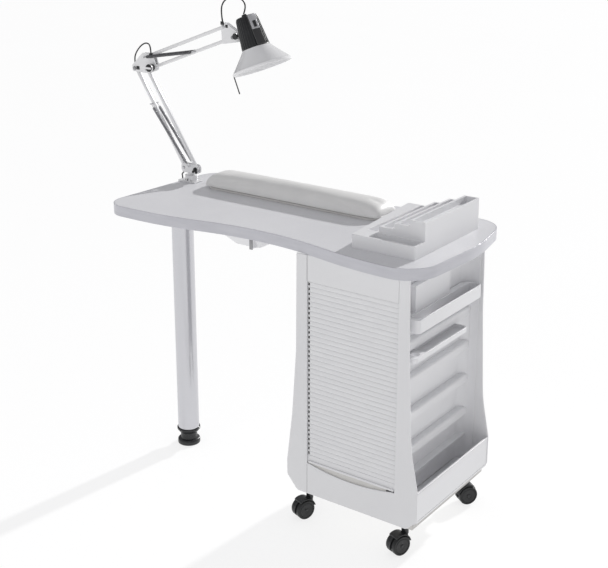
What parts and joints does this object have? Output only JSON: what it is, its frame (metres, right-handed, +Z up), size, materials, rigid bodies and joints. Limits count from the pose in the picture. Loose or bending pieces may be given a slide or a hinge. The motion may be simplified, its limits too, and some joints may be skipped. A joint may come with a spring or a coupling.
{
  "type": "manicure table",
  "caption": "Manicure table with a wavy top on one tube leg and a wheeled cabinet, a roller shutter, open bottle shelves, a wrist cushion, a polish rack and a balanced-arm lamp.",
  "frame": {"origin": "middle of the leg's levelling foot on the floor", "axes": "+X along the table from the leg to the cabinet, +Y from the client's long edge to the back, +Z up"},
  "size_m": [1.1285, 0.4519, 1.275],
  "materials": {
    "laminate": "matt laminate on board",
    "band": "satin edge strip",
    "satin_chrome": "satin chrome",
    "steel": "bright zinc",
    "black_plastic": "satin moulded",
    "caster_tread": "hard nylon",
    "cabinet_plastic": "semi-gloss moulded",
    "board": "melamine board",
    "tray_plastic": "semi-gloss vacuum formed",
    "slat_plastic": "satin extruded",
    "roller_steel": "plain",
    "vinyl": "smooth vinyl",
    "lamp_paint": "gloss enamel",
    "bulb_glass": "frosted",
    "black_wire": "satin",
    "cord_pvc": "satin pvc",
    "clip_plastic": "plain"
  },
  "bodies": {
    "root": {"tabletop": "laminate", "edge_band": "band", "leg_tube": "satin_chrome", "leg_flange": "steel", "leg_screws": "steel", "leg_collar": "black_plastic", "near_side": "cabinet_plastic", "far_side": "cabinet_plastic", "fascia": "cabinet_plastic", "cabinet_head": "board", "left_wall": "cabinet_plastic", "base_panel": "board", "inner_shelf": "board", "display_wall": "tray_plastic", "bin": "tray_plastic", "shutter_guides": "slat_plastic", "shutter_slats": "slat_plastic", "caster_sockets": "black_plastic", "cushion_board": "board", "wrist_cushion": "vinyl", "polish_rack": "tray_plastic", "tray_runners": "roller_steel", "lamp_clamp": "lamp_paint", "mains_cord": "cord_pvc", "cord_coil": "cord_pvc", "plug": "cord_pvc", "cord_clips": "clip_plastic"},
    "foot": {"levelling_foot": "black_plastic"},
    "shutter": {"shutter_rail": "slat_plastic"},
    "roller": {"shutter_roller": "roller_steel"},
    "gutter_tray": {"upper_tray": "tray_plastic"},
    "bottle_tray": {"lower_tray": "tray_plastic"},
    "dish": {"under_tray": "tray_plastic"},
    "swivel_near_left": {"caster_near_left": "black_plastic"},
    "wheel_near_left": {"wheels_near_left": "caster_tread"},
    "swivel_near_right": {"caster_near_right": "black_plastic"},
    "wheel_near_right": {"wheels_near_right": "caster_tread"},
    "swivel_far_right": {"caster_far_right": "black_plastic"},
    "wheel_far_right": {"wheels_far_right": "caster_tread"},
    "swivel_far_left": {"caster_far_left": "black_plastic"},
    "wheel_far_left": {"wheels_far_left": "caster_tread"},
    "yoke": {"lamp_yoke": "lamp_paint", "base_cable": "cord_pvc"},
    "lower_arm": {"lower_bar_outer": "lamp_paint", "lower_springs": "steel"},
    "lower_link": {"lower_bar_inner": "lamp_paint"},
    "elbow": {"elbow_bracket": "lamp_paint", "elbow_cable": "cord_pvc"},
    "elbow_knob": {"elbow_knob": "black_plastic"},
    "upper_arm": {"upper_bar_top": "lamp_paint"},
    "upper_link": {"upper_bar_low": "lamp_paint", "upper_springs": "steel"},
    "head_link": {"head_bracket": "lamp_paint", "head_cable": "cord_pvc"},
    "lamp_head": {"lamp_housing": "black_plastic", "lamp_shade": "lamp_paint", "bulb": "bulb_glass", "aim_rod": "black_wire"},
    "rocker": {"rocker_switch": "black_plastic"},
    "clamp_screw": {"clamp_screw": "steel"}
  },
  "joints": [
    {"name": "foot_screw", "type": "slide", "parent": "root", "child": "foot", "axis": [0, 0, -1], "range_m": [0, 0.015]},
    {"name": "shutter_lift", "type": "slide", "parent": "root", "child": "shutter", "axis": [0, 0, 1], "range_m": [0, 0.44], "deforming": ["shutter_slats"]},
    {"name": "roller_turn", "type": "hinge", "parent": "root", "child": "roller", "pos_m": [0.525, -0.138, 0.69], "axis": [-1, 0, 0], "range_deg": [0, 1040]},
    {"name": "gutter_tray_pull", "type": "slide", "parent": "root", "child": "gutter_tray", "axis": [1, 0, 0], "range_m": [0, 0.04]},
    {"name": "bottle_tray_pull", "type": "slide", "parent": "root", "child": "bottle_tray", "axis": [1, 0, 0], "range_m": [0, 0.04]},
    {"name": "dish_pull", "type": "slide", "parent": "root", "child": "dish", "axis": [0, -1, 0], "range_m": [0, 0.07]},
    {"name": "swivel_near_left", "type": "hinge", "parent": "root", "child": "swivel_near_left", "pos_m": [0.516, -0.122, 0.072], "axis": [0, 0, 1], "continuous": true},
    {"name": "roll_near_left", "type": "hinge", "parent": "swivel_near_left", "child": "wheel_near_left", "pos_m": [0.50882, -0.14173, 0.025], "axis": [0.9397, -0.342, 0], "continuous": true},
    {"name": "swivel_near_right", "type": "hinge", "parent": "root", "child": "swivel_near_right", "pos_m": [0.8, -0.122, 0.072], "axis": [0, 0, 1], "continuous": true},
    {"name": "roll_near_right", "type": "hinge", "parent": "swivel_near_right", "child": "wheel_near_right", "pos_m": [0.79282, -0.14173, 0.025], "axis": [0.9397, -0.342, 0], "continuous": true},
    {"name": "swivel_far_right", "type": "hinge", "parent": "root", "child": "swivel_far_right", "pos_m": [0.8, 0.15, 0.072], "axis": [0, 0, 1], "continuous": true},
    {"name": "roll_far_right", "type": "hinge", "parent": "swivel_far_right", "child": "wheel_far_right", "pos_m": [0.81205, 0.1672, 0.025], "axis": [-0.8192, 0.5736, 0], "continuous": true},
    {"name": "swivel_far_left", "type": "hinge", "parent": "root", "child": "swivel_far_left", "pos_m": [0.516, 0.15, 0.072], "axis": [0, 0, 1], "continuous": true},
    {"name": "roll_far_left", "type": "hinge", "parent": "swivel_far_left", "child": "wheel_far_left", "pos_m": [0.51057, 0.17028, 0.025], "axis": [-0.9659, -0.2588, 0], "continuous": true},
    {"name": "lamp_swivel", "type": "hinge", "parent": "root", "child": "yoke", "pos_m": [-0.05, 0.1, 0.755], "axis": [0, 0, 1], "range_deg": [-150, 150], "deforming": ["base_cable"]},
    {"name": "lower_arm_lift", "type": "hinge", "parent": "yoke", "child": "lower_arm", "pos_m": [-0.0715, 0.1, 0.789], "axis": [0, 1, 0], "range_deg": [-12, 50], "deforming": ["lower_springs"]},
    {"name": "lower_link_lift", "type": "hinge", "parent": "yoke", "child": "lower_link", "pos_m": [-0.0285, 0.1, 0.789], "axis": [0, 1, 0], "range_deg": [-12, 50]},
    {"name": "elbow_level", "type": "hinge", "parent": "lower_arm", "child": "elbow", "pos_m": [-0.2435, 0.1, 1.051], "axis": [0, 1, 0], "range_deg": [-50, 12], "deforming": ["elbow_cable"]},
    {"name": "elbow_knob_turn", "type": "hinge", "parent": "elbow", "child": "elbow_knob", "pos_m": [-0.1745, 0.1, 1.06], "axis": [0, 1, 0], "range_deg": [-90, 90]},
    {"name": "upper_arm_lift", "type": "hinge", "parent": "elbow", "child": "upper_arm", "pos_m": [-0.2045, 0.1, 1.086], "axis": [0, 1, 0], "range_deg": [-35, 20]},
    {"name": "upper_link_lift", "type": "hinge", "parent": "elbow", "child": "upper_link", "pos_m": [-0.1745, 0.1, 1.06], "axis": [0, 1, 0], "range_deg": [-35, 20], "deforming": ["upper_springs"]},
    {"name": "head_level", "type": "hinge", "parent": "upper_arm", "child": "head_link", "pos_m": [0.0815, 0.1, 1.192], "axis": [0, 1, 0], "range_deg": [-20, 35]},
    {"name": "head_tilt", "type": "hinge", "parent": "head_link", "child": "lamp_head", "pos_m": [0.1265, 0.1, 1.171], "axis": [0, 1, 0], "range_deg": [-35, 30], "deforming": ["head_cable"]},
    {"name": "rocker_tip", "type": "hinge", "parent": "lamp_head", "child": "rocker", "pos_m": [0.1921, 0.08516, 1.20947], "axis": [0.3902, 0.9063, 0.1624], "range_deg": [-6, 0]},
    {"name": "clamp_screw_down", "type": "slide", "parent": "root", "child": "clamp_screw", "axis": [0, 0, -1], "range_m": [0, 0.017]}
  ],
  "couplings": [
    {"joint": "roller_turn", "follows": "shutter_lift", "rad_per_m": 40.8},
    {"joint": "lower_link_lift", "follows": "lower_arm_lift", "ratio": 1},
    {"joint": "elbow_level", "follows": "lower_arm_lift", "ratio": -1},
    {"joint": "upper_link_lift", "follows": "upper_arm_lift", "ratio": 1},
    {"joint": "head_level", "follows": "upper_arm_lift", "ratio": -1}
  ]
}
